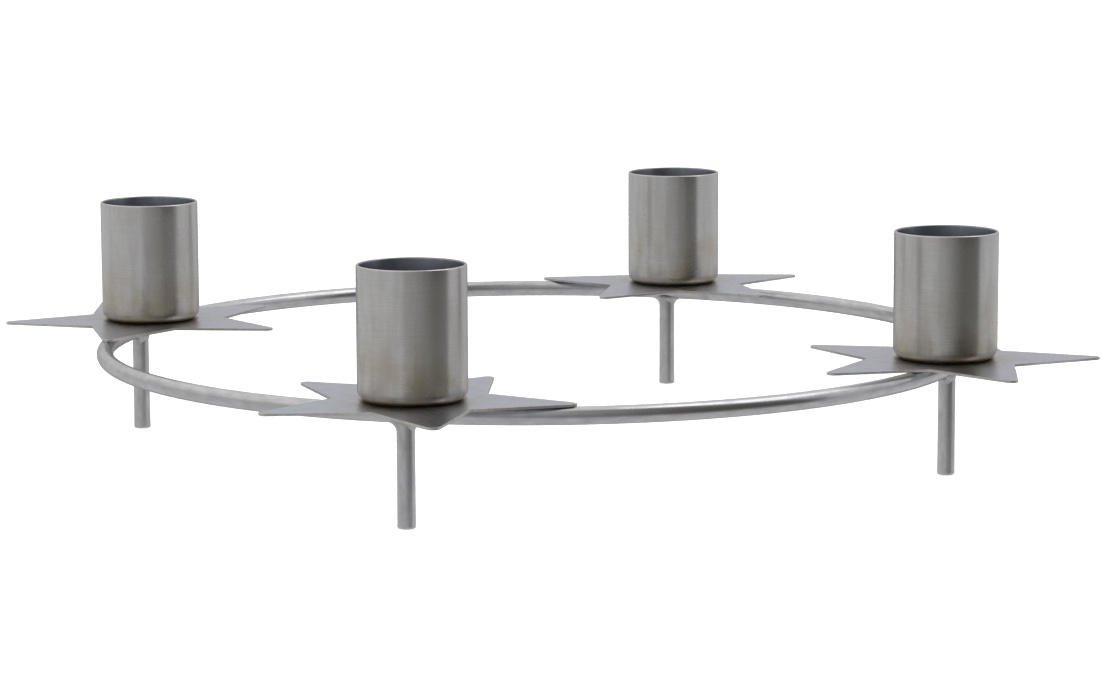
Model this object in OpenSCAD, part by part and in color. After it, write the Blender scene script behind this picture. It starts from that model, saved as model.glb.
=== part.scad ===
// Advent candle holder: a ring of round steel bar that stands on four short legs.
// Four star plates are welded on top of the ring, and each carries a deep-drawn candle cup.
// Frame: Z up, millimetres, origin on the table under the ring's centre, front star towards -Y.
// The stations are listed left, front, right, back, and each one's own X points away from the centre.

/* [Bar ring] */
// Diameter of the ring, on the centre-line of its bar
ring_d = 206; // [180:1:260]
// Diameter of the round bar that the ring and the legs are cut from
bar_d = 4; // [3:0.25:6]
// Length of bar that the weld closing the ring takes up
seam_w = 1.5; // [0.5:0.25:3]

/* [Legs] */
// Height of the ring's underside above the table
leg_h = 23; // [15:0.5:60]
// Radius of the rounded edge round a leg's foot
foot_edge_r = 0.5; // [0.2:0.1:1]

/* [Star plates] */
// Diameter of the circle through the rounded tips of a star
star_d = 71.6; // [60:0.2:90]
// Diameter of the circle through the notches between the arms
star_notch_d = 36; // [30:0.5:44]
// Radius of the rounded tips
star_tip_r = 1.6; // [0.4:0.1:2.4]
// Thickness of the sheet that the stars are cut from
star_t = 0.6; // [0.5:0.1:2]

/* [Candle cups] */
// Outer diameter of a cup
cup_d = 24; // [20:0.5:28]
// Height of a cup
cup_h = 29.5; // [15:0.5:45]
// Thickness of the drawn sheet, in the wall and in the floor
cup_wall = 0.7; // [0.5:0.1:1.2]
// Outer radius of the corner between a cup's wall and its floor
cup_corner_r = 2.6; // [1.5:0.1:4]

/* [Welds] */
// Radius of the hollow fillet where a leg meets the ring
leg_fillet_r = 1.8; // [1:0.1:3]
// How far that weld stands out beside the bar
weld_skin = 0.3; // [0.2:0.05:0.6]
// How far a leg's top end reaches up round the bar that it is welded to
saddle_depth = 0.4; // [0.2:0.1:0.8]
// Radius of the hollow fillet between the bar and a star's underside
star_fillet_r = 0.8; // [0.5:0.1:1.2]
// Length of each of those fillets along the ring
star_fillet_l = 9; // [5:0.5:14]

/* [Stations] */
// Where each star stands round the ring, in degrees
station_angles = [178, 270, 352, 84];
// How far each leg is turned on round the ring from its star, in degrees
leg_turns = [0, -0.4, 1, 1];
// How far each star is set in from the ring's centre-line, as shares of the bar's diameter
star_inset_shares = [0.75, 0.75, 0, 0];
// Turn of each star, from an arm that points away from the ring's centre, in degrees
star_turn = 24; // [0:1:72]

/* [Hidden] */
STATIONS = ["left", "front", "right", "back"];
SUBPARTS = ["leg", "leg_weld", "star", "star_weld", "cup"];

arm_count = 5;
overrun = 1;

ring_r = ring_d / 2;
bar_r = bar_d / 2;
ring_z = leg_h + bar_r;
ring_top = leg_h + bar_d;
cup_seat_z = ring_top + star_t;
cup_r = cup_d / 2;

// Every weld ends in a toe of this thickness, not in a feather edge
weld_toe = weld_skin / 3;

// The seam that closes the ring is hidden under the back star, this far round from its leg
back_station = 3;
seam_offset = 2.5 * bar_d;
seam_span = seam_w / ring_r * 180 / PI;
seam_angle = station_angles[back_station] - seam_offset / ring_r * 180 / PI;

$fn = 96;

// Stations

module at_station(i) {
    rotate([0, 0, station_angles[i]]) children();
}

module at_leg(i) {
    rotate([0, 0, station_angles[i] + leg_turns[i]]) translate([ring_r, 0, 0]) children();
}

module at_star(i) {
    at_station(i) translate([ring_r - star_inset_shares[i] * bar_d, 0, 0]) children();
}

// Half of the section of an upright round blank: a flat floor, a straight side and a rounded corner
module round_blank_half(r, h, corner_r) {
    translate([r - corner_r, corner_r]) circle(r = corner_r);
    square([r - corner_r, h]);
    translate([0, corner_r]) square([r, h - corner_r]);
}

// Ring

module bar_arc(start, span) {
    rotate([0, 0, start]) rotate_extrude(angle = span)
        translate([ring_r, ring_z]) circle(r = bar_r);
}

module whole_ring() {
    rotate_extrude() translate([ring_r, ring_z]) circle(r = bar_r);
}

// The ring is one bar bent round, open by the width of its closing weld
module ring() {
    color("#a9a6a2") bar_arc(seam_angle + seam_span / 2, 360 - seam_span);
}

// The closing weld is ground flush, so that the star above it lies flat
module ring_butt_weld() {
    color("#8f8c87") bar_arc(seam_angle - seam_span / 2, seam_span);
}

// Legs

module leg_blank() {
    rotate_extrude() round_blank_half(bar_r, leg_h + saddle_depth, foot_edge_r);
}

// A leg's top end is hollowed to sit round the underside of the ring
module leg(i) {
    color("#a9a6a2") difference() {
        at_leg(i) leg_blank();
        whole_ring();
    }
}

// Section of the weld round a leg's top: a hollow fillet that spreads under the ring,
// and above it a cone that runs out on the ring's sides
module leg_weld_half() {
    spread_r = bar_r + weld_toe + leg_fillet_r;
    fillet_z = leg_h - weld_toe - leg_fillet_r;
    difference() {
        polygon([
            [0, fillet_z],
            [spread_r, fillet_z],
            [spread_r, leg_h + weld_toe],
            [bar_r - weld_skin, ring_z],
            [0, ring_z]
        ]);
        translate([spread_r, fillet_z]) circle(r = leg_fillet_r);
    }
}

// The weld is spread along the ring, and across it stands out by no more than its skin
module leg_weld(i) {
    side_r = bar_r + weld_skin;
    color("#8f8c87") difference() {
        at_leg(i) intersection() {
            rotate_extrude() leg_weld_half();
            translate([-side_r, -bar_d, 0]) cube([2 * side_r, 2 * bar_d, ring_top]);
        }
        at_leg(i) leg_blank();
        whole_ring();
    }
}

// Stars

function turned(point, angle) = [
    point[0] * cos(angle) - point[1] * sin(angle),
    point[0] * sin(angle) + point[1] * cos(angle)
];

// The outline of a star: straight edges from notch to tip, and round tips that the edges run into
module star_outline() {
    notch_r = star_notch_d / 2;
    arm_turn = 360 / arm_count;
    tip_x = star_d / 2 - star_tip_r;
    notch = turned([notch_r, 0], arm_turn / 2);
    run = [tip_x - notch[0], notch[1]];
    edge_slope = atan2(run[1], run[0]) - asin(star_tip_r / norm(run));
    touch = [tip_x + star_tip_r * sin(edge_slope), star_tip_r * cos(edge_slope)];
    arm_points = [[touch[0], -touch[1]], touch, notch];
    polygon([for (arm = [0 : arm_count - 1], point = arm_points) turned(point, arm * arm_turn)]);
    for (arm = [0 : arm_count - 1]) rotate(arm * arm_turn) translate([tip_x, 0]) circle(r = star_tip_r);
}

module star(i) {
    color("#b3b2b6") at_star(i) translate([0, 0, ring_top]) rotate([0, 0, star_turn])
        linear_extrude(star_t) star_outline();
}

// Section of the fillet on one side of the bar, seen from the bar's axis: it fills the corner
// under the star, and its hollow face comes within the toe's thickness of the bar and the sheet
module star_fillet_half() {
    reach = 2 * sqrt(bar_r * star_fillet_r);
    touch_share = bar_r / (bar_r + star_fillet_r);
    touch_z = touch_share * (bar_r - star_fillet_r);
    root = bar_r / 3;
    difference() {
        translate([root, touch_z]) square([reach - root, bar_r - touch_z]);
        circle(r = bar_r);
        translate([reach + weld_toe, bar_r - star_fillet_r - weld_toe]) circle(r = star_fillet_r);
    }
}

// Each star is tacked to the bar on both of its sides
module star_weld(i) {
    span = star_fillet_l / ring_r * 180 / PI;
    color("#8f8c87") at_station(i) rotate([0, 0, -span / 2]) rotate_extrude(angle = span)
        translate([ring_r, ring_z]) {
            star_fillet_half();
            mirror([1, 0]) star_fillet_half();
        }
}

// Cups

// Section of a drawn cup: an even wall with a rounded corner at the floor and a rounded rim
module cup_half() {
    rim_r = cup_wall / 2;
    difference() {
        round_blank_half(cup_r, cup_h - rim_r, cup_corner_r);
        translate([0, cup_wall])
            round_blank_half(cup_r - cup_wall, cup_h + overrun, cup_corner_r - cup_wall);
    }
    translate([cup_r - rim_r, cup_h - rim_r]) circle(r = rim_r);
}

module cup(i) {
    color("#9d9a94") at_star(i) translate([0, 0, cup_seat_z]) rotate_extrude() cup_half();
}

ring();
ring_butt_weld();
for (i = [0 : len(STATIONS) - 1]) {
    leg(i);
    leg_weld(i);
    star(i);
    star_weld(i);
    cup(i);
}
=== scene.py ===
import math

import bmesh
import bpy
from mathutils import Matrix, Vector


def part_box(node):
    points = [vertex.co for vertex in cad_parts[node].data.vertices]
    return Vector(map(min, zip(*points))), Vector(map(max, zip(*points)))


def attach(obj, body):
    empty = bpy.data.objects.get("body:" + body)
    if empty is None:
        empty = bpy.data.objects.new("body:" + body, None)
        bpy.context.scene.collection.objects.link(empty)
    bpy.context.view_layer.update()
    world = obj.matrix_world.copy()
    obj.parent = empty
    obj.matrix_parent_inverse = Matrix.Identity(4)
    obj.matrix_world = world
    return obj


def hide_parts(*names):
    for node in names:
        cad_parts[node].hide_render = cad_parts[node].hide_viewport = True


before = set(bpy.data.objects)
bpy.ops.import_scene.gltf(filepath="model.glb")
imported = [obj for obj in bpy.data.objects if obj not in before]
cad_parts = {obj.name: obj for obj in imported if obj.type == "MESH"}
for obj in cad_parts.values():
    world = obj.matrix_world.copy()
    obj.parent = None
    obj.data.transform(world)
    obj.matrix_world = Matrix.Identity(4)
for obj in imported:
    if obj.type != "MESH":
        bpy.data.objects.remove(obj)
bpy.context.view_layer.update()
scene = bpy.context.scene

# Ring
# One length of 4 mm round stainless bar, rolled to a circle and open by the width of its closing
# weld. It was polished along its length to a satin finish before it was bent.
MM = 0.001
STATION_ANGLES = {"left": 178, "front": 270, "right": 352, "back": 84}
PLACES = tuple(STATION_ANGLES)
RING_RADIUS = 103 * MM
BAR_RADIUS = 2 * MM
LEG_HEIGHT = 23 * MM
RING_HEIGHT = LEG_HEIGHT + BAR_RADIUS
SEAM_ARC = 1.5 * MM / RING_RADIUS
SEAM_OFFSET = 10 * MM
SEAM_ANGLE = math.radians(STATION_ANGLES["back"]) - SEAM_OFFSET / RING_RADIUS
RING_STEPS = 720
BAR_STEPS = 40
SHARP_BEND = math.radians(50)  # faces that meet more sharply than this get a crisp edge


def add_node(tree, kind, settings, inputs):
    """Adds a node with its settings, and sets or links its inputs."""
    node = tree.nodes.new(kind)
    for name, value in settings.items():
        setattr(node, name, value)
    for name, value in inputs.items():
        if isinstance(value, bpy.types.NodeSocket):
            tree.links.new(value, node.inputs[name])
        else:
            node.inputs[name].default_value = value
    return node


def new_tree(name, sizes):
    """Starts a Geometry Nodes tree, and returns it with the sockets of its named inputs."""
    tree = bpy.data.node_groups.new(name, "GeometryNodeTree")
    for size, kind in sizes.items():
        tree.interface.new_socket(size, in_out="INPUT", socket_type=kind)
    tree.interface.new_socket("Metal", in_out="OUTPUT", socket_type="NodeSocketGeometry")
    return tree, tree.nodes.new("NodeGroupInput").outputs


def add_object(name, data):
    """Adds an object to the scene."""
    added = bpy.data.objects.new(name, data)
    scene.collection.objects.link(added)
    return added


def end_tree(tree, metal, steel):
    """Ends a tree in plain geometry with its steel on it."""
    smooth = add_node(tree, "GeometryNodeSetShadeSmooth", {}, {"Geometry": metal})
    plain = add_node(tree, "GeometryNodeRealizeInstances", {}, {"Geometry": smooth.outputs[0]})
    finished = add_node(tree, "GeometryNodeSetMaterial", {}, {
        "Geometry": plain.outputs[0],
        "Material": steel,
    })
    tree.links.new(finished.outputs[0], tree.nodes.new("NodeGroupOutput").inputs[0])


def grow(name, tree, sizes, start=None):
    """Runs a tree with the sizes of one piece, and returns the piece as a plain mesh."""
    start = start or bpy.data.meshes.new(name + "_source")
    source = add_object(name + "_source", start)
    modifier = source.modifiers.new("tree", "NODES")
    modifier.node_group = tree
    for item in tree.interface.items_tree:
        if item.name in sizes:
            modifier[item.identifier] = sizes[item.name]
    made = source.evaluated_get(bpy.context.evaluated_depsgraph_get())
    mesh = bpy.data.meshes.new_from_object(made)
    bpy.data.objects.remove(source)
    mesh.name = name
    return add_object(name, mesh)


def lay_lines(piece, rule):
    """Stores what the steels read at each point: its place on the piece, the direction in which
    its finishing lines run, and its offset from the weld that heated it."""
    found = [rule(vertex.co) for vertex in piece.data.vertices]
    for name, vectors in zip(("place", "lay", "from_weld"), zip(*found)):
        store = piece.data.attributes.new(name, "FLOAT_VECTOR", "POINT")
        store.data.foreach_set("vector", [number for vector in vectors for number in vector])


def linear(colour):
    """Turns an sRGB hex colour to the linear colour that a shader takes."""
    parts = [int(colour[i:i + 2], 16) / 255 for i in (1, 3, 5)]
    return [c / 12.92 if c <= 0.04045 else ((c + 0.055) / 1.055) ** 2.4 for c in parts] + [1]


# Noise seldom leaves the range from low to high, so a steel reaches its two tones at those ends.
# The quarter turn is from the way that the lines run to the way that they stretch the shine.
NOISE_DETAIL = 3
NOISE_ROUGHNESS = 0.6
NOISE_LOW = 0.36
NOISE_HIGH = 0.64
CLOUD_SHARE = 0.66
QUARTER_TURN = 0.25

# Welding leaves a straw-coloured film on stainless steel, and on the cups and stars the same
# tint, reaching further, is also a painted warm reflection of each in the other. It fades with
# the distance from the weld and lies in soft patches. In the crevice right at the weld it turns
# brown and dull: the brown is painted shade.
TINT_AND_PAINTED_REFLECTION = "#a59265"
TINT_AND_REFLECTION_STRENGTH = 0.42
TINT_AND_REFLECTION_PATCHINESS = 0.75
TINT_AND_REFLECTION_GAPS = (10, 10, 10)
WELD_REACH_WANDER = 4 * MM
WELD_REACH_FADE = 3
# Painted shade: a dark brown in the crevice right at the weld, which also dulls the shine there
PAINTED_CREVICE_SHADE = "#6b5d39"
PAINTED_SHADE_START = 0.8
PAINTED_SHADE_STRENGTH = 0.5
PAINTED_SHADE_DULLING = 0.3


def weld_nearness_from(tree, weld_offset, patches, reach):
    """How near a point lies to its weld: fully up to the near reach, not at all beyond the far
    one.
    """
    distance = add_node(tree, "ShaderNodeVectorMath", {"operation": "LENGTH"}, {0: weld_offset})
    wander = add_node(tree, "ShaderNodeMath", {"operation": "MULTIPLY_ADD"}, {
        0: patches,
        1: WELD_REACH_WANDER,
        2: -WELD_REACH_WANDER / 2,
    })
    uneven = add_node(tree, "ShaderNodeMath", {"operation": "ADD"}, {
        0: distance.outputs["Value"],
        1: wander.outputs[0],
    })
    nearness = add_node(tree, "ShaderNodeMapRange", {}, {
        "Value": uneven.outputs[0],
        "From Min": reach[0] * MM,
        "From Max": reach[1] * MM,
        "To Min": 1,
        "To Max": 0,
    })
    weld_nearness = add_node(tree, "ShaderNodeMath", {"operation": "POWER"}, {
        0: nearness.outputs[0],
        1: WELD_REACH_FADE,
    })
    return weld_nearness.outputs[0]


def steel(name, tones, roughness, stretch, line_gaps, line_depth, cloud_gaps, weld_reach):
    """A bare steel with fine lines, larger clouds, a straw weld tint that is partly painted warm
    reflection, and painted brown shade in the crevice at the weld. A gap is the size of a line or
    a cloud along each axis of its place. Gaps, depth and reach are in mm. The stretch is how far
    the shine spreads across the lines."""
    material = bpy.data.materials.new(name)
    material.use_nodes = True
    tree = material.node_tree
    place, lay, from_weld = (
        add_node(tree, "ShaderNodeAttribute", {"attribute_name": stored}, {}).outputs["Vector"]
        for stored in ("place", "lay", "from_weld")
    )
    lines, clouds, patches = (
        add_node(tree, "ShaderNodeTexNoise", {}, {
            "Vector": add_node(tree, "ShaderNodeMapping", {}, {
                "Vector": place,
                "Scale": [1 / (gap * MM) for gap in gaps],
            }).outputs[0],
            "Scale": 1,
            "Detail": NOISE_DETAIL,
            "Roughness": NOISE_ROUGHNESS,
        }).outputs[0]
        for gaps in (line_gaps, cloud_gaps, TINT_AND_REFLECTION_GAPS)
    )
    marks = add_node(tree, "ShaderNodeMix", {}, {"Factor": CLOUD_SHARE, "A": lines, "B": clouds})
    tone = add_node(tree, "ShaderNodeMapRange", {}, {
        "Value": marks.outputs[0],
        "From Min": NOISE_LOW,
        "From Max": NOISE_HIGH,
    })
    clean = add_node(tree, "ShaderNodeMix", {"data_type": "RGBA"}, {
        "Factor": tone.outputs[0],
        "A": linear(tones[0]),
        "B": linear(tones[1]),
    })
    weld_nearness = weld_nearness_from(tree, from_weld, patches, weld_reach)
    strength = add_node(tree, "ShaderNodeMapRange", {"interpolation_type": "SMOOTHSTEP"}, {
        "Value": patches,
        "From Min": NOISE_LOW,
        "From Max": NOISE_HIGH,
        "To Min": TINT_AND_REFLECTION_STRENGTH * (1 - TINT_AND_REFLECTION_PATCHINESS),
        "To Max": TINT_AND_REFLECTION_STRENGTH * (1 + TINT_AND_REFLECTION_PATCHINESS),
    })
    # The straw weld tint, which on the cups and stars is also a painted warm reflection
    tinted_share = add_node(tree, "ShaderNodeMath", {"operation": "MULTIPLY"}, {
        0: weld_nearness,
        1: strength.outputs[0],
    })
    tinted = add_node(tree, "ShaderNodeMix", {"data_type": "RGBA"}, {
        "Factor": tinted_share.outputs[0],
        "A": clean.outputs["Result"],
        "B": linear(TINT_AND_PAINTED_REFLECTION),
    })
    # Painted shade in the crevice right at the weld: a darker brown, and a duller shine
    painted_shade_share = add_node(tree, "ShaderNodeMapRange", {"interpolation_type": "SMOOTHSTEP"}, {
        "Value": weld_nearness,
        "From Min": PAINTED_SHADE_START,
        "From Max": 1,
        "To Min": 0,
        "To Max": PAINTED_SHADE_STRENGTH,
    })
    colour = add_node(tree, "ShaderNodeMix", {"data_type": "RGBA"}, {
        "Factor": painted_shade_share.outputs[0],
        "A": tinted.outputs["Result"],
        "B": linear(PAINTED_CREVICE_SHADE),
    })
    matt = add_node(tree, "ShaderNodeMapRange", {}, {
        "Value": marks.outputs[0],
        "From Min": NOISE_LOW,
        "From Max": NOISE_HIGH,
        "To Min": roughness[1],
        "To Max": roughness[0],
    })
    dulled = add_node(tree, "ShaderNodeMath", {"operation": "MULTIPLY_ADD"}, {
        0: painted_shade_share.outputs[0],
        1: PAINTED_SHADE_DULLING,
        2: matt.outputs[0],
    })
    relief = add_node(tree, "ShaderNodeBump", {}, {
        "Strength": 1,
        "Distance": line_depth * MM,
        "Height": lines,
    })
    shader = tree.nodes["Principled BSDF"]
    shader.inputs["Metallic"].default_value = 1
    shader.inputs["Anisotropic"].default_value = stretch
    shader.inputs["Anisotropic Rotation"].default_value = QUARTER_TURN
    tree.links.new(colour.outputs["Result"], shader.inputs["Base Color"])
    tree.links.new(dulled.outputs[0], shader.inputs["Roughness"])
    tree.links.new(relief.outputs[0], shader.inputs["Normal"])
    tree.links.new(lay, shader.inputs["Tangent"])
    return material


def middle(node):
    """The upright axis of a CAD node, at the table."""
    low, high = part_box(node)
    return Vector(((low.x + high.x) / 2, (low.y + high.y) / 2, 0))


leg_tops = [middle("leg_" + place) + Vector((0, 0, LEG_HEIGHT)) for place in PLACES]


def bar_place(point):
    """A point's place on the ring's bar: across the bar, up it and along it from the closing
    weld. The lines run along the bar, and the nearest leg's weld has heated it."""
    angle = (math.atan2(point.y, point.x) - SEAM_ANGLE) % math.tau
    across = math.hypot(point.x, point.y) - RING_RADIUS
    around = Vector((-point.y, point.x, 0)).normalized()
    from_leg = min((point - top for top in leg_tops), key=lambda gap: gap.length)
    return (across, point.z - RING_HEIGHT, angle * RING_RADIUS), around, from_leg


# Polished bar: a satin shine, stretched by fine lines that run along the bar. The lines are
# 0.3 mm apart, which is coarser than real, so that they show.
bar_steel = steel(
    "polished_stainless_bar",
    tones=("#b8b8ba", "#cccccd"),
    roughness=(0.2, 0.3),
    stretch=0.3,
    line_gaps=(0.3, 0.3, 25),
    line_depth=0.003,
    cloud_gaps=(1.6, 1.6, 4),
    weld_reach=(0, 6),
)

bent_bar, bar_input = new_tree("bent_bar", {
    "Ring radius": "NodeSocketFloat",
    "Bar radius": "NodeSocketFloat",
    "Lift": "NodeSocketVector",
    "Start angle": "NodeSocketFloat",
    "Sweep angle": "NodeSocketFloat",
    "Steps along": "NodeSocketInt",
    "Steps round": "NodeSocketInt",
    "Steel": "NodeSocketMaterial",
})
arc = add_node(bent_bar, "GeometryNodeCurveArc", {"mode": "RADIUS"}, {
    "Resolution": bar_input["Steps along"],
    "Radius": bar_input["Ring radius"],
    "Start Angle": bar_input["Start angle"],
    "Sweep Angle": bar_input["Sweep angle"],
})
bar_section = add_node(bent_bar, "GeometryNodeCurvePrimitiveCircle", {}, {
    "Resolution": bar_input["Steps round"],
    "Radius": bar_input["Bar radius"],
})
bar = add_node(bent_bar, "GeometryNodeCurveToMesh", {}, {
    "Curve": arc.outputs[0],
    "Profile Curve": bar_section.outputs[0],
    "Fill Caps": True,
})
lifted = add_node(bent_bar, "GeometryNodeTransform", {}, {
    "Geometry": bar.outputs[0],
    "Translation": bar_input["Lift"],
})
end_tree(bent_bar, lifted.outputs[0], bar_input["Steel"])

ring = grow("ring_bar", bent_bar, {
    "Ring radius": RING_RADIUS,
    "Bar radius": BAR_RADIUS,
    "Lift": (0, 0, RING_HEIGHT),
    "Start angle": SEAM_ANGLE + SEAM_ARC / 2,
    "Sweep angle": math.tau - SEAM_ARC,
    "Steps along": RING_STEPS,
    "Steps round": BAR_STEPS,
    "Steel": bar_steel,
})
ring.data.set_sharp_from_angle(angle=SHARP_BEND)
lay_lines(ring, bar_place)
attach(ring, "root")
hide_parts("ring")

# Closing weld of the ring
# The two ends of the bar are butt welded under the back star, and the weld is ground flush,
# so that the star lies flat on it. Its metal is a little duller than the bar's.
SEAM_STEPS = 7

# Cleaned weld metal: dull and slightly dark, with an even cast grain in place of lines. The grain
# is 0.8 mm wide, coarser than real, so that it shows.
weld_steel = steel(
    "cleaned_weld_metal",
    tones=("#b0b0b3", "#c8c8cb"),
    roughness=(0.28, 0.4),
    stretch=0,
    line_gaps=(0.8, 0.8, 0.8),
    line_depth=0.006,
    cloud_gaps=(2, 2, 2),
    weld_reach=(0, 4),
)

closing_weld = grow("ring_closing_weld", bent_bar, {
    "Ring radius": RING_RADIUS,
    "Bar radius": BAR_RADIUS,
    "Lift": (0, 0, RING_HEIGHT),
    "Start angle": SEAM_ANGLE - SEAM_ARC / 2,
    "Sweep angle": SEAM_ARC,
    "Steps along": SEAM_STEPS,
    "Steps round": BAR_STEPS,
    "Steel": weld_steel,
})
closing_weld.data.set_sharp_from_angle(angle=SHARP_BEND)
lay_lines(closing_weld, bar_place)
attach(closing_weld, "root")
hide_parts("ring_butt_weld")

# Legs
# Four short lengths of the same bar. The foot's edge is turned round, and the top end is hollowed
# to sit round the underside of the ring.
FOOT_EDGE = 0.5 * MM
SADDLE_DEPTH = 0.4 * MM
LEG_STEPS = 64
EDGE_STEPS = 8
TOP_STEPS = 6
AXIS_TOLERANCE = 0.002 * MM


def corner(centre_r, centre_z, radius, start, end, steps):
    """Points of a rounded corner in an outline, as distances from the axis and heights."""
    angles = [start + (end - start) * step / steps for step in range(steps + 1)]
    return [(centre_r + radius * math.cos(a), centre_z + radius * math.sin(a)) for a in angles]


turned_part, turning_input = new_tree("turned_part", {
    "Outline": "NodeSocketGeometry",
    "Turning radius": "NodeSocketFloat",
    "Steps round": "NodeSocketInt",
    "Axis": "NodeSocketVector",
    "Steel": "NodeSocketMaterial",
})
outline_curve = add_node(turned_part, "GeometryNodeMeshToCurve", {}, {0: turning_input["Outline"]})
round_path = add_node(turned_part, "GeometryNodeCurvePrimitiveCircle", {}, {
    "Resolution": turning_input["Steps round"],
    "Radius": turning_input["Turning radius"],
})
turned = add_node(turned_part, "GeometryNodeCurveToMesh", {}, {
    "Curve": round_path.outputs[0],
    "Profile Curve": outline_curve.outputs[0],
})
closed = add_node(turned_part, "GeometryNodeMergeByDistance", {}, {
    "Geometry": turned.outputs[0],
    "Distance": AXIS_TOLERANCE,
})
stood = add_node(turned_part, "GeometryNodeTransform", {}, {
    "Geometry": closed.outputs[0],
    "Translation": turning_input["Axis"],
})
end_tree(turned_part, stood.outputs[0], turning_input["Steel"])


def face_outwards(mesh):
    """Turns the faces of a closed mesh to point outwards."""
    work = bmesh.new()
    work.from_mesh(mesh)
    bmesh.ops.recalc_face_normals(work, faces=work.faces)
    work.to_mesh(mesh)
    work.free()


def turn(name, outline, radius, steps, axis, material):
    """Turns an outline of distances and heights round an upright axis, as a closed mesh."""
    mesh = bpy.data.meshes.new(name + "_outline")
    points = [(r - radius, -z, 0) for r, z in outline]
    mesh.from_pydata(points, [(i, i + 1) for i in range(len(points) - 1)], [])
    piece = grow(name, turned_part, {
        "Turning radius": radius,
        "Steps round": steps,
        "Axis": axis,
        "Steel": material,
    }, mesh)
    face_outwards(piece.data)
    return piece


def ring_underside(point):
    """The height of the ring's underside over a point on the table."""
    across = min(abs(math.hypot(point.x, point.y) - RING_RADIUS), BAR_RADIUS)
    return RING_HEIGHT - math.sqrt(BAR_RADIUS ** 2 - across ** 2)


leg_top = LEG_HEIGHT + SADDLE_DEPTH
foot_bend = corner(BAR_RADIUS - FOOT_EDGE, FOOT_EDGE, FOOT_EDGE, -math.pi / 2, 0, EDGE_STEPS)
top_rings = [BAR_RADIUS * (TOP_STEPS - step) / TOP_STEPS for step in range(TOP_STEPS + 1)]
leg_outline = [(0, 0), (BAR_RADIUS / 2, 0)] + foot_bend + [(r, leg_top) for r in top_rings]

for place, top in zip(PLACES, leg_tops):
    axis = middle("leg_" + place)
    leg = turn("leg_bar_" + place, leg_outline, BAR_RADIUS, LEG_STEPS, axis, bar_steel)
    # Its flat top end is pressed down to the underside of the ring, which makes the saddle
    for vertex in leg.data.vertices:
        vertex.co.z = min(vertex.co.z, ring_underside(vertex.co))
    leg.data.set_sharp_from_angle(angle=SHARP_BEND)
    lay_lines(leg, lambda point: (point, (0, 0, 1), point - top))
    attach(leg, "root")
    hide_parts("leg_" + place)

# Leg welds
# Each leg is welded all round its top. The weld metal spreads along the underside of the ring in
# a hollow fillet, and on the ring's sides it stands out by no more than a skin.
FILLET = 1.8 * MM
WELD_SKIN = 0.3 * MM
SIDE_REACH = 1.8 * MM
WELD_STEPS = 96
FACE_STEPS = 14
RIPPLES = 26
RIPPLE_HEIGHT = 0.015 * MM
RIPPLE_LEAN = 2
ROOT_HIGH_SHARE = 0.9
ROOT_LOW_SHARE = 0.85


def weld_section(axis, turn_angle):
    """A section of a leg's weld, up its hollow face from the leg and back through its root."""
    outward = axis.normalized()
    along = Vector((-outward.y, outward.x, 0))
    along_share = math.cos(turn_angle) ** 2
    away = math.cos(turn_angle) * along + math.sin(turn_angle) * outward
    toe = axis + away * BAR_RADIUS
    toe.z = LEG_HEIGHT - WELD_SKIN - (FILLET - WELD_SKIN) * along_share
    reach_along = along * (BAR_RADIUS + FILLET) * math.cos(turn_angle)
    reach_out = outward * SIDE_REACH * math.sin(turn_angle)
    tip = axis + reach_along + reach_out
    tip.z = ring_underside(tip)
    bend = axis + away * (BAR_RADIUS + WELD_SKIN)
    bend.z = LEG_HEIGHT + WELD_SKIN * (1 - 2 * along_share)
    face = []
    for step in range(FACE_STEPS + 1):
        t = step / FACE_STEPS
        point = toe * (1 - t) ** 2 + bend * 2 * t * (1 - t) + tip * t ** 2
        swell = math.sin(math.pi * t)
        wave = math.sin(RIPPLES * turn_angle + RIPPLE_LEAN * swell)
        point += (away - Vector((0, 0, along_share))) * RIPPLE_HEIGHT * wave * swell
        face.append(point)
    root_high = axis.lerp(tip, ROOT_HIGH_SHARE)
    root_high.z = tip.z + WELD_SKIN
    root_low = axis.lerp(toe, ROOT_LOW_SHARE)
    root_low.z = toe.z
    return face + [root_high, root_low]


def loop_mesh(name, sections, material):
    """Joins closed sections that stand round a loop into one closed mesh."""
    count = len(sections[0])
    points = [point for section in sections for point in section]
    faces = []
    for i in range(len(sections)):
        after = (i + 1) % len(sections)
        for j in range(count):
            k = (j + 1) % count
            faces.append((i * count + j, after * count + j, after * count + k, i * count + k))
    mesh = bpy.data.meshes.new(name)
    mesh.from_pydata(points, [], faces)
    mesh.materials.append(material)
    mesh.shade_smooth()
    face_outwards(mesh)
    return add_object(name, mesh)


for place, top in zip(PLACES, leg_tops):
    axis = middle("leg_" + place)
    sections = [weld_section(axis, math.tau * step / WELD_STEPS) for step in range(WELD_STEPS)]
    leg_weld = loop_mesh("leg_fillet_" + place, sections, weld_steel)
    lay_lines(leg_weld, lambda point: (point, (0, 0, 1), point - top))
    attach(leg_weld, "root")
    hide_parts("leg_weld_" + place)

# Star plates
# Five-pointed stars cut from 0.6 mm stainless sheet with a fine rolled grain. Their tips are
# round, their cut edges are deburred, and they lie flat on the top of the ring.
STAR_RADIUS = 35.8 * MM
NOTCH_RADIUS = 18 * MM
TIP_RADIUS = 1.6 * MM
STAR_THICKNESS = 0.6 * MM
STAR_BASE = RING_HEIGHT + BAR_RADIUS
STAR_TOP = STAR_BASE + STAR_THICKNESS
DEBURR = 0.07 * MM
DEBURR_STEPS = 2
DEBURR_BEND = math.radians(60)
FLAT = 0.98  # a face whose normal is less upright than this belongs to the cut edge
ARMS = 5
TIP_STEPS = 12
STAR_TURN = math.radians(24)


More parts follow.
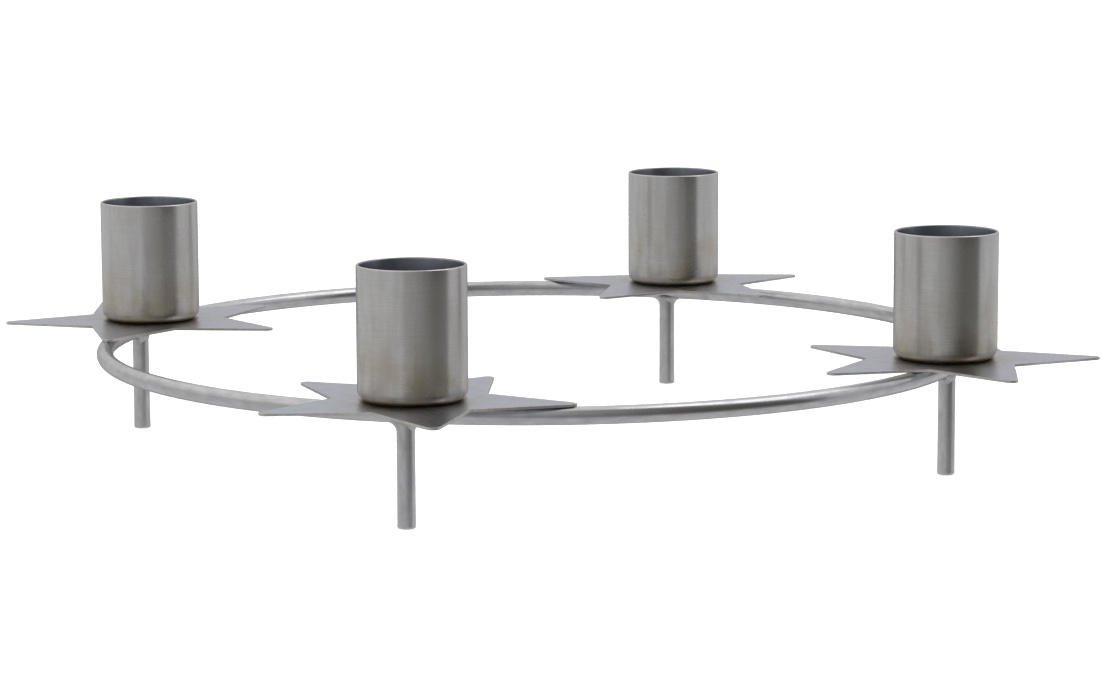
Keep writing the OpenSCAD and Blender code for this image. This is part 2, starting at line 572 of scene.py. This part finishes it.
def star_outline():
    """The star's outline: straight edges from notch to tip, run into the round tips."""
    tip_centre = STAR_RADIUS - TIP_RADIUS
    half_arm = math.pi / ARMS
    notch = Vector((NOTCH_RADIUS * math.cos(half_arm), NOTCH_RADIUS * math.sin(half_arm)))
    run = Vector((tip_centre, 0)) - notch
    slope = math.atan2(notch.y, run.x) - math.asin(TIP_RADIUS / run.length)
    points = []
    for arm in range(ARMS):
        spin = Matrix.Rotation(2 * half_arm * arm, 2)
        for step in range(TIP_STEPS + 1):
            angle = (math.pi / 2 - slope) * (2 * step / TIP_STEPS - 1)
            tip = Vector((tip_centre + TIP_RADIUS * math.cos(angle), TIP_RADIUS * math.sin(angle)))
            points.append(spin @ tip)
        points.append(spin @ notch)
    return points


# Rolled sheet: even and matt, a shade cooler than the bar. Its rolled grain, drawn coarser than
# real so that it shows, is too short to stretch the shine. Its straw tint comes from the cup
# welded to it, and round the cup's foot it is also a painted olive reflection of the cup in the
# sheet, with painted shade in the crevice at the foot. So the reach is counted from the middle of
# the cup's foot.
star_steel = steel(
    "rolled_stainless_sheet",
    tones=("#b5b8c3", "#c4c7d1"),
    roughness=(0.26, 0.34),
    stretch=0,
    line_gaps=(0.5, 0.25, 1),
    line_depth=0.0015,
    cloud_gaps=(3, 3, 3),
    weld_reach=(11, 26),
)
# Deburred edge: a light, dull rim with short marks through the sheet's thickness. They are 0.3 mm
# apart, coarser than real, so that they show.
cut_edge = steel(
    "deburred_cut_edge",
    tones=("#bdbbb6", "#d2d0cb"),
    roughness=(0.3, 0.4),
    stretch=0,
    line_gaps=(0.3, 0.3, 1.5),
    line_depth=0.002,
    cloud_gaps=(2, 2, 2),
    weld_reach=(11, 20),
)

for place in PLACES:
    axis = middle("cup_" + place)
    facing = Matrix.Rotation(math.radians(STATION_ANGLES[place]) + STAR_TURN, 3, "Z")
    bottoms = [axis + facing @ Vector((p.x, p.y, STAR_BASE)) for p in star_outline()]
    tops = [point + Vector((0, 0, STAR_THICKNESS)) for point in bottoms]
    count = len(bottoms)
    underside = tuple(reversed(range(count)))
    upper_side = tuple(range(count, 2 * count))
    edges = [(i, (i + 1) % count, count + (i + 1) % count, count + i) for i in range(count)]
    mesh = bpy.data.meshes.new("star_blank_" + place)
    mesh.from_pydata(bottoms + tops, [], [underside, upper_side] + edges)
    mesh.materials.append(star_steel)
    mesh.shade_smooth()
    blank = add_object("star_blank_" + place, mesh)
    deburr = blank.modifiers.new("deburr", "BEVEL")
    deburr.width = DEBURR
    deburr.segments = DEBURR_STEPS
    deburr.angle_limit = DEBURR_BEND
    deburr.harden_normals = True
    made = blank.evaluated_get(bpy.context.evaluated_depsgraph_get())
    finished = bpy.data.meshes.new_from_object(made)
    bpy.data.objects.remove(blank)
    star = add_object("star_plate_" + place, finished)
    star.data.materials.append(cut_edge)
    for face in star.data.polygons:
        face.material_index = 1 if abs(face.normal.z) < FLAT else 0
    rolled = facing @ Vector((1, 0, 0))
    cup_foot = axis + Vector((0, 0, STAR_TOP))
    lay_lines(star, lambda point: (facing.transposed() @ point, rolled, point - cup_foot))
    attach(star, "root")
    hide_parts("star_" + place)

# Star welds
# Under each star the bar is tacked to the sheet on both sides, with a short rippled bead that
# lies in the corner between them. Each ripple swells to the bead's full girth, then falls back.
BEAD_LENGTH = 9 * MM
BEAD_RADIUS = 0.6 * MM
BEAD_OFFSET = 1.75 * MM
BEAD_DROP = 0.55 * MM
BEAD_RIPPLES = 12
BEAD_STEPS = 97
BEAD_SIDES = 20
RIPPLE_GIRTH = 0.9
END_ROUNDING = 0.3
BEAD_TOLERANCE = 0.001 * MM

rippled_bead, bead_input = new_tree("rippled_bead", {
    "Path radius": "NodeSocketFloat",
    "Start angle": "NodeSocketFloat",
    "Sweep angle": "NodeSocketFloat",
    "Lift": "NodeSocketVector",
    "Bead radius": "NodeSocketFloat",
    "Ripples": "NodeSocketFloat",
    "Steps along": "NodeSocketInt",
    "Steps round": "NodeSocketInt",
    "Steel": "NodeSocketMaterial",
})
path = add_node(rippled_bead, "GeometryNodeCurveArc", {"mode": "RADIUS"}, {
    "Resolution": bead_input["Steps along"],
    "Radius": bead_input["Path radius"],
    "Start Angle": bead_input["Start angle"],
    "Sweep Angle": bead_input["Sweep angle"],
})
along_bead = add_node(rippled_bead, "GeometryNodeSplineParameter", {}, {}).outputs["Factor"]
ripple_count = add_node(rippled_bead, "ShaderNodeMath", {"operation": "MULTIPLY"}, {
    0: along_bead,
    1: bead_input["Ripples"],
})
saw = add_node(rippled_bead, "ShaderNodeMath", {"operation": "FRACT"}, {
    0: ripple_count.outputs[0],
})
ripple = add_node(rippled_bead, "ShaderNodeMapRange", {"interpolation_type": "SMOOTHSTEP"}, {
    "Value": saw.outputs[0],
    "To Min": RIPPLE_GIRTH,
    "To Max": 1,
})
half_turn = add_node(rippled_bead, "ShaderNodeMath", {"operation": "MULTIPLY"}, {
    0: along_bead,
    1: math.pi,
})
swell = add_node(rippled_bead, "ShaderNodeMath", {"operation": "SINE"}, {
    0: half_turn.outputs[0],
})
round_ends = add_node(rippled_bead, "ShaderNodeMath", {"operation": "POWER"}, {
    0: swell.outputs[0],
    1: END_ROUNDING,
})
girth = add_node(rippled_bead, "ShaderNodeMath", {"operation": "MULTIPLY"}, {
    0: round_ends.outputs[0],
    1: ripple.outputs["Result"],
})
bead_section = add_node(rippled_bead, "GeometryNodeCurvePrimitiveCircle", {}, {
    "Resolution": bead_input["Steps round"],
    "Radius": bead_input["Bead radius"],
})
run = add_node(rippled_bead, "GeometryNodeCurveToMesh", {}, {
    "Curve": path.outputs[0],
    "Profile Curve": bead_section.outputs[0],
    "Scale": girth.outputs[0],
    "Fill Caps": True,
})
laid = add_node(rippled_bead, "GeometryNodeTransform", {}, {
    "Geometry": run.outputs[0],
    "Translation": bead_input["Lift"],
})
end_tree(rippled_bead, laid.outputs[0], bead_input["Steel"])

for place in PLACES:
    sweep = BEAD_LENGTH / RING_RADIUS
    beads = [
        grow("tack_" + place, rippled_bead, {
            "Path radius": RING_RADIUS + side * BEAD_OFFSET,
            "Start angle": math.radians(STATION_ANGLES[place]) - sweep / 2,
            "Sweep angle": sweep,
            "Lift": (0, 0, STAR_BASE - BEAD_DROP),
            "Bead radius": BEAD_RADIUS,
            "Ripples": BEAD_RIPPLES,
            "Steps along": BEAD_STEPS,
            "Steps round": BEAD_SIDES,
            "Steel": weld_steel,
        })
        for side in (-1, 1)
    ]
    work = bmesh.new()
    for bead in beads:
        work.from_mesh(bead.data)
    bmesh.ops.remove_doubles(work, verts=work.verts, dist=BEAD_TOLERANCE)
    bmesh.ops.recalc_face_normals(work, faces=work.faces)
    mesh = bpy.data.meshes.new("star_beads_" + place)
    work.to_mesh(mesh)
    work.free()
    mesh.materials.append(weld_steel)
    for bead in beads:
        bpy.data.objects.remove(bead)
    star_weld = add_object("star_beads_" + place, mesh)
    lay_lines(star_weld, bar_place)
    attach(star_weld, "root")
    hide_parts("star_weld_" + place)

# Candle cups
# Deep-drawn stainless cups, brushed round their axis on a lathe, with a rounded corner at the
# floor and a rounded rim. Each is spot-welded to its star through the floor.
CUP_RADIUS = 12 * MM
CUP_HEIGHT = 29.5 * MM
CUP_WALL = 0.7 * MM
CUP_CORNER = 2.6 * MM
CUP_STEPS = 192
WALL_STEPS = 10
CORNER_STEPS = 12
RIM_STEPS = 12
FLOOR_STEPS = 24
SPOTS = 3
SPOT_CIRCLE = 4.5 * MM
SPOT_RADIUS = 1.6 * MM
SPOT_DEPTH = 0.12 * MM
FACES_UP = 0.5


def between(start, end, steps):
    """Points on a straight stretch of an outline, without its two ends."""
    return [
        tuple(a + (b - a) * step / steps for a, b in zip(start, end))
        for step in range(1, steps)
    ]


rim = CUP_WALL / 2
bore = CUP_RADIUS - CUP_WALL
bend = CUP_CORNER - CUP_WALL
floor_middle = (0, CUP_WALL)
outer_bend = corner(CUP_RADIUS - CUP_CORNER, CUP_CORNER, CUP_CORNER, -math.pi / 2, 0, CORNER_STEPS)
rim_bend = corner(CUP_RADIUS - rim, CUP_HEIGHT - rim, rim, 0, math.pi, RIM_STEPS)
inner_bend = corner(bore - bend, CUP_CORNER, bend, 0, -math.pi / 2, CORNER_STEPS)
cup_outline = [(0, 0), (CUP_RADIUS / 2, 0)] + outer_bend
cup_outline += between(outer_bend[-1], rim_bend[0], WALL_STEPS) + rim_bend
cup_outline += between(rim_bend[-1], inner_bend[0], WALL_STEPS) + inner_bend
cup_outline += between(inner_bend[-1], floor_middle, FLOOR_STEPS) + [floor_middle]

# Brushed cup: lines round the cup stretch its shine up and down to soft upright bands, and the
# drawing has left faint upright clouds. The lines are 0.25 mm apart, coarser than real, so that
# they show. Its weld reach is counted from the middle of the foot, so the tint starts at the
# corner of the floor and fades towards the rim. That tint is partly a straw weld tint and partly a
# painted warm reflection of the star, and at the corner it turns to painted brown shade.
cup_steel = steel(
    "brushed_drawn_cup",
    tones=("#bfbcb8", "#cdcdcd"),
    roughness=(0.25, 0.31),
    stretch=0.6,
    line_gaps=(6, 6, 0.25),
    line_depth=0.0007,
    cloud_gaps=(2.6, 2.6, 14),
    weld_reach=(10.8, 30),
)
# Inside as drawn: duller than the brushed outside, and darker and cooler, which is painted shade
# inside the cup. Its drawing lines are 0.4 mm apart, again coarser than real. Its weld reach
# starts below zero, because the spot welds left the floor tinted, without the painted crevice
# shade.
cup_inside = steel(
    "cup_inside_as_drawn_painted_shade",
    tones=("#999ca6", "#a9acb7"),
    roughness=(0.3, 0.4),
    stretch=0.5,
    line_gaps=(9, 9, 0.4),
    line_depth=0.003,
    cloud_gaps=(2, 2, 6),
    weld_reach=(-2, 12),
)


def press_spot(vertex, spot):
    """Presses a point into a spot weld's mark, which is flat over the inner half of its radius."""
    near = 1 - (vertex.co - spot).length / SPOT_RADIUS
    if near > 0:
        vertex.co.z -= SPOT_DEPTH * min(1, 2 * near) ** 2


def cup_place(point, seat):
    """A point's place on its cup. The lines run round the cup, and its seat has heated it."""
    out = point - seat
    return point, Vector((-out.y, out.x, 0)).normalized(), out


for place in PLACES:
    seat = middle("cup_" + place) + Vector((0, 0, STAR_TOP))
    cup = turn("candle_cup_" + place, cup_outline, CUP_RADIUS, CUP_STEPS, seat, cup_steel)
    spots = [
        seat + Matrix.Rotation(math.tau * i / SPOTS, 3, "Z") @ Vector((SPOT_CIRCLE, 0, CUP_WALL))
        for i in range(SPOTS)
    ]
    for vertex in cup.data.vertices:
        for spot in spots:
            press_spot(vertex, spot)
    cup.data.materials.append(cup_inside)
    for face in cup.data.polygons:
        out = face.center - seat
        inward = face.normal.x * out.x + face.normal.y * out.y < 0
        on_floor = face.normal.z > FACES_UP and out.z < CUP_CORNER
        face.material_index = 1 if inward or on_floor else 0
    lay_lines(cup, lambda point: cup_place(point, seat))
    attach(cup, "root")
    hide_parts("cup_" + place)

# Paper table
# A white paper sheet that lies flat under the holder and curves up to a wall all round. The metal
# doesn't mirror it: the lower half of the room stands for it there.
TABLE_RADIUS = 6
MIDDLE_RADIUS = 1
COVE_RADIUS = 2
WALL_HEIGHT = 6
TABLE_STEPS = 96
COVE_STEPS = 24

cove = [(0, 0), (MIDDLE_RADIUS, 0), (TABLE_RADIUS, 0)]
cove += corner(TABLE_RADIUS, COVE_RADIUS, COVE_RADIUS, -math.pi / 2, 0, COVE_STEPS)
cove += [(TABLE_RADIUS + COVE_RADIUS, WALL_HEIGHT)]

# White paper: fully matt, so it shows no shine, only soft shade under the holder
paper = bpy.data.materials.new("white_paper")
paper.use_nodes = True
paper_shader = paper.node_tree.nodes["Principled BSDF"]
paper_shader.inputs["Base Color"].default_value = linear("#f6f6f4")
paper_shader.inputs["Roughness"].default_value = 1
paper_shader.inputs["Specular IOR Level"].default_value = 0

table = turn("paper_table", cove, TABLE_RADIUS, TABLE_STEPS, Vector((0, 0, 0)), paper)
table.visible_glossy = False

# Pale room
# The metal mirrors this room. It is dimmest round level, lighter below, above and towards the
# back wall and the left, and uneven in faint upright stripes. Low behind the holder, where the
# table ends, it is dark.

# Its light at each height, where 0 is straight down, 0.5 is level and 1 is straight up
ROOM_LIGHT = (
    (0, 0.62),
    (0.3, 0.6),
    (0.42, 0.55),
    (0.5, 0.5),
    (0.56, 0.5),
    (0.63, 0.57),
    (0.75, 0.7),
    (0.86, 0.8),
    (1, 0.72),
)
BACK_WALL = (-0.26, 0.97, 0)
BACK_WALL_SPREAD = 0.8
BACK_WALL_LIFT = 1.16
STRIPES = (6, 6, 0.8)
STRIPE_DETAIL = 3
STRIPE_LOW = 0.35
STRIPE_HIGH = 0.65
STRIPE_DEPTH = 0.06
TABLE_END = (-0.24, 0.875, -0.42)
TABLE_END_START = 0.8
TABLE_END_LIGHT = 0.45
LEFT_SIDE = (-0.85, -0.15, 0.5)
LEFT_SIDE_START = 0.1
ROOM_TINT = (0.99, 0.99, 1.005, 1)
LEFT_SIDE_TINT = (1.115, 1.11, 1.11, 1)

room = bpy.data.worlds.new("pale_room")
room.use_nodes = True
scene.world = room
tree = room.node_tree
direction = add_node(tree, "ShaderNodeTexCoord", {}, {}).outputs["Generated"]
room_axes = add_node(tree, "ShaderNodeSeparateXYZ", {}, {"Vector": direction})
room_height = add_node(tree, "ShaderNodeMapRange", {}, {
    "Value": room_axes.outputs["Z"],
    "From Min": -1,
    "From Max": 1,
})


def set_stops(ramp, stops):
    """Gives a ramp its stops, each a position and a level of grey."""
    for position, level in stops[2:]:
        ramp.color_ramp.elements.new(position)
    for stop, (position, level) in zip(ramp.color_ramp.elements, stops):
        stop.position = position
        stop.color = (level, level, level, 1)


by_height = add_node(tree, "ShaderNodeValToRGB", {}, {"Fac": room_height.outputs[0]})
set_stops(by_height, ROOM_LIGHT)
towards_back = add_node(tree, "ShaderNodeVectorMath", {"operation": "DOT_PRODUCT"}, {
    0: direction,
    1: BACK_WALL,
})
by_depth = add_node(tree, "ShaderNodeMapRange", {}, {
    "Value": towards_back.outputs["Value"],
    "From Min": -BACK_WALL_SPREAD,
    "From Max": BACK_WALL_SPREAD,
    "To Min": 1,
    "To Max": BACK_WALL_LIFT,
})
stripes = add_node(tree, "ShaderNodeMapping", {}, {"Vector": direction, "Scale": STRIPES})
stripe_marks = add_node(tree, "ShaderNodeTexNoise", {}, {
    "Vector": stripes.outputs[0],
    "Scale": 1,
    "Detail": STRIPE_DETAIL,
})
by_stripe = add_node(tree, "ShaderNodeMapRange", {}, {
    "Value": stripe_marks.outputs[0],
    "From Min": STRIPE_LOW,
    "From Max": STRIPE_HIGH,
    "To Min": 1 - STRIPE_DEPTH,
    "To Max": 1 + STRIPE_DEPTH,
})
towards_table_end = add_node(tree, "ShaderNodeVectorMath", {"operation": "DOT_PRODUCT"}, {
    0: direction,
    1: TABLE_END,
})
by_table_end = add_node(tree, "ShaderNodeMapRange", {}, {
    "Value": towards_table_end.outputs["Value"],
    "From Min": TABLE_END_START,
    "From Max": 1,
    "To Min": 1,
    "To Max": TABLE_END_LIGHT,
})
brightness = by_height.outputs["Color"]
for share in (by_table_end, by_depth, by_stripe):
    brightness = add_node(tree, "ShaderNodeMath", {"operation": "MULTIPLY"}, {
        0: brightness,
        1: share.outputs[0],
    }).outputs[0]
towards_left = add_node(tree, "ShaderNodeVectorMath", {"operation": "DOT_PRODUCT"}, {
    0: direction,
    1: LEFT_SIDE,
})
by_side = add_node(tree, "ShaderNodeMapRange", {}, {
    "Value": towards_left.outputs["Value"],
    "From Min": LEFT_SIDE_START,
    "From Max": 1,
})
room_colour = add_node(tree, "ShaderNodeMix", {"data_type": "RGBA"}, {
    "Factor": by_side.outputs[0],
    "A": ROOM_TINT,
    "B": LEFT_SIDE_TINT,
})
tree.links.new(room_colour.outputs["Result"], tree.nodes["Background"].inputs["Color"])
tree.links.new(brightness, tree.nodes["Background"].inputs["Strength"])

# Lights
# One wide softbox high on the right and behind, and a fill from straight above without shadows
# that turns the paper white. The metal mirrors the softbox but not the fill.
SOFTBOX_PLACE = Vector((0.56, 0.24, 1.15))
SOFTBOX_WIDTH = 0.85
SOFTBOX_DEPTH = 0.7
SOFTBOX_POWER = 2.15
FILL_POWER = 2

softbox = add_object("softbox", bpy.data.lights.new("softbox", "AREA"))
softbox.data.shape = "RECTANGLE"
softbox.data.size = SOFTBOX_WIDTH
softbox.data.size_y = SOFTBOX_DEPTH
softbox.data.energy = SOFTBOX_POWER
softbox.location = SOFTBOX_PLACE
softbox.rotation_mode = "QUATERNION"
softbox.rotation_quaternion = SOFTBOX_PLACE.to_track_quat("Z", "Y")
softbox.visible_camera = False

fill = add_object("table_fill", bpy.data.lights.new("table_fill", "SUN"))
fill.data.energy = FILL_POWER
fill.data.use_shadow = False
fill.visible_glossy = False

# Dark card
# An upright card to the right of the camera, seen only as the dark band in the cups and legs. It
# reaches below the level of the table, where the metal mirrors it. There and towards its left end
# it is as thin as gauze, and it is denser higher up and towards its right end.
CARD_RIGHT = Vector((0.56, -0.02, -0.14))
CARD_LEFT = Vector((-0.05, -0.85, -0.14))
CARD_HEIGHT = 1.5

# How dense it is along its length, where 0 is its left end and 1 is its right end
CARD_COVER = (
    (0.036, 0),
    (0.09, 0.4),
    (0.337, 0.44),
    (0.458, 0.58),
    (0.554, 0.74),
    (0.68, 1),
    (0.957, 1),
    (0.989, 0),
)
THIN_BELOW = -0.06
DENSE_ABOVE = -0.01
LOW_COVER = 0.53
HIGH_COVER = 0.86
GLOW_FROM = 0.58
DENSE_GLOW = 0.6

card_mesh = bpy.data.meshes.new("dark_card")
rise = Vector((0, 0, CARD_HEIGHT))
card_corners = [CARD_RIGHT, CARD_LEFT, CARD_LEFT + rise, CARD_RIGHT + rise]
card_mesh.from_pydata(card_corners, [], [(0, 1, 2, 3)])
card = add_object("dark_card", card_mesh)

# Dark felt: gives the metal an almost black band with a trace of olive, weaker where it is dense
felt = bpy.data.materials.new("dark_felt")
felt.use_nodes = True
tree = felt.node_tree
card_place = add_node(tree, "ShaderNodeTexCoord", {}, {}).outputs["Object"]
card_axes = add_node(tree, "ShaderNodeSeparateXYZ", {}, {"Vector": card_place})
card_share = add_node(tree, "ShaderNodeMapRange", {}, {
    "Value": card_axes.outputs["Y"],
    "From Min": CARD_LEFT.y,
    "From Max": CARD_RIGHT.y,
})
along_card = add_node(tree, "ShaderNodeValToRGB", {}, {"Fac": card_share.outputs[0]})
set_stops(along_card, CARD_COVER)
up_card = add_node(tree, "ShaderNodeMapRange", {"interpolation_type": "SMOOTHSTEP"}, {
    "Value": card_axes.outputs["Z"],
    "From Min": THIN_BELOW,
    "From Max": DENSE_ABOVE,
    "To Min": LOW_COVER,
    "To Max": HIGH_COVER,
})
cover = add_node(tree, "ShaderNodeMath", {"operation": "MULTIPLY"}, {
    0: along_card.outputs["Color"],
    1: up_card.outputs[0],
})
glow_strength = add_node(tree, "ShaderNodeMapRange", {}, {
    "Value": along_card.outputs["Color"],
    "From Min": GLOW_FROM,
    "From Max": 1,
    "To Min": 1,
    "To Max": DENSE_GLOW,
})
glow = add_node(tree, "ShaderNodeEmission", {}, {
    "Color": linear("#3f3b29"),
    "Strength": glow_strength.outputs[0],
})
clear = add_node(tree, "ShaderNodeBsdfTransparent", {}, {})
gauze = add_node(tree, "ShaderNodeMixShader", {}, {
    0: cover.outputs[0],
    1: clear.outputs[0],
    2: glow.outputs[0],
})
tree.links.new(gauze.outputs[0], tree.nodes["Material Output"].inputs["Surface"])
card_mesh.materials.append(felt)
card.visible_camera = False
card.visible_diffuse = False
card.visible_shadow = False

# Camera
# A long lens 0.88 m away, a little above the candle cups, with the front star towards it. Yaw
# turns it from +Y, pitch is how far it looks down, and the roll is that of the tripod.
CAMERA_PLACE = Vector((0.22756, -0.83732, 0.15494))
CAMERA_YAW = math.radians(-14.931)
CAMERA_PITCH = math.radians(8.554)
CAMERA_ROLL = math.radians(0.234)
SENSOR_WIDTH = 36
FOCAL_LENGTH = 118.51

ahead = Vector((
    math.sin(CAMERA_YAW) * math.cos(CAMERA_PITCH),
    math.cos(CAMERA_YAW) * math.cos(CAMERA_PITCH),
    -math.sin(CAMERA_PITCH),
))
level = Vector((math.cos(CAMERA_YAW), -math.sin(CAMERA_YAW), 0))
upright = level.cross(ahead)
to_right = math.cos(CAMERA_ROLL) * level - math.sin(CAMERA_ROLL) * upright
to_top = math.sin(CAMERA_ROLL) * level + math.cos(CAMERA_ROLL) * upright
camera_turn = Matrix((to_right, to_top, -ahead)).transposed().to_4x4()

camera = add_object("camera", bpy.data.cameras.new("camera"))
camera.data.sensor_width = SENSOR_WIDTH
camera.data.lens = FOCAL_LENGTH
camera.matrix_world = Matrix.Translation(CAMERA_PLACE) @ camera_turn
scene.camera = camera
scene.view_settings.view_transform = "Standard"
